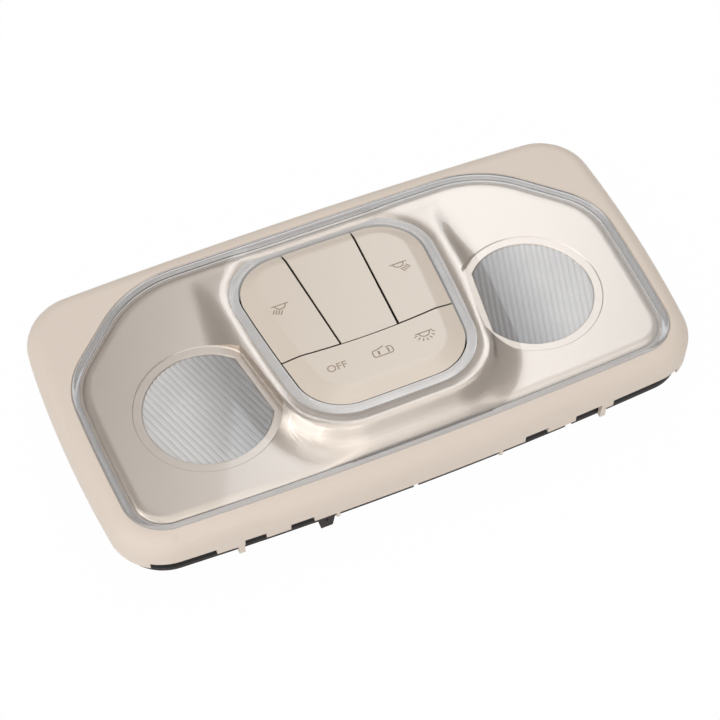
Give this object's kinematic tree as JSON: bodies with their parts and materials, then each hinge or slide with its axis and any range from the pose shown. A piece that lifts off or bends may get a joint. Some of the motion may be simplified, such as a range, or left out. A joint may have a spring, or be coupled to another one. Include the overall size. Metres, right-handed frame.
{
  "type": "car dome light",
  "caption": "Overhead car light unit with a rounded ivory bezel, clear cover over a satin panel, fluted map lenses and a raised pod of push keys with a rocker.",
  "frame": {"origin": "centre of the flat back of the rear housing, on which the light rests", "axes": "+X along the long side to the right of the keys, +Y from the rocker towards the map keys, +Z out of the lit face"},
  "size_m": [0.2246, 0.12, 0.0418],
  "materials": {
    "ivory_plastic": "fine grain",
    "key_plastic": "fine grain",
    "clear_plastic": "clear, polished",
    "champagne_satin": "satin metallised",
    "frosted_lens": "fluted, frosted",
    "black_plastic": "moulded",
    "switch_plastic": "moulded",
    "board": "solder mask",
    "steel": "zinc plated",
    "brass": "plain",
    "reflector": "metallised inside",
    "bulb_glass": "clear with metal caps"
  },
  "bodies": {
    "unit": {"bezel": "ivory_plastic", "centre_blank": "key_plastic", "clear_cover": "clear_plastic", "trim_panel": "champagne_satin", "map_lens_left": "frosted_lens", "map_lens_right": "frosted_lens", "rear_housing": "black_plastic", "switch_carrier": "black_plastic", "connector_shell": "black_plastic", "map_switch_left": "switch_plastic", "map_switch_right": "switch_plastic", "mode_switch": "switch_plastic", "circuit_board": "board", "rocker_pin": "steel", "board_screws": "steel", "housing_screws": "steel", "roof_clips": "steel", "bulb_contacts_left": "brass", "bulb_contacts_right": "brass", "connector_pins": "brass", "lamp_bowl_left": "reflector", "lamp_bowl_right": "reflector", "bulb_left": "bulb_glass", "bulb_right": "bulb_glass"},
    "left_key": {"map_button_left": "key_plastic", "map_plunger_left": "switch_plastic"},
    "right_key": {"map_button_right": "key_plastic", "map_plunger_right": "switch_plastic"},
    "rocker": {"mode_rocker": "key_plastic"},
    "slider": {"mode_slider": "switch_plastic"}
  },
  "joints": [
    {"name": "left_press", "type": "slide", "parent": "unit", "child": "left_key", "axis": [0, -0.0847, -0.9964], "range_m": [0, 0.002], "stiffness_N_per_m": 400, "springref_m": -0.002},
    {"name": "right_press", "type": "slide", "parent": "unit", "child": "right_key", "axis": [0, -0.0847, -0.9964], "range_m": [0, 0.002], "stiffness_N_per_m": 400, "springref_m": -0.002},
    {"name": "rocker_tilt", "type": "hinge", "parent": "unit", "child": "rocker", "pos_m": [0, -0.01977, 0.03343], "axis": [0, 0.9964, -0.0847], "range_deg": [-4, 4]},
    {"name": "slider_shift", "type": "slide", "parent": "unit", "child": "slider", "axis": [1, 0, 0], "range_m": [-0.0009, 0.0009]}
  ],
  "couplings": [
    {"joint": "slider_shift", "follows": "rocker_tilt", "m_per_rad": -0.0127}
  ]
}
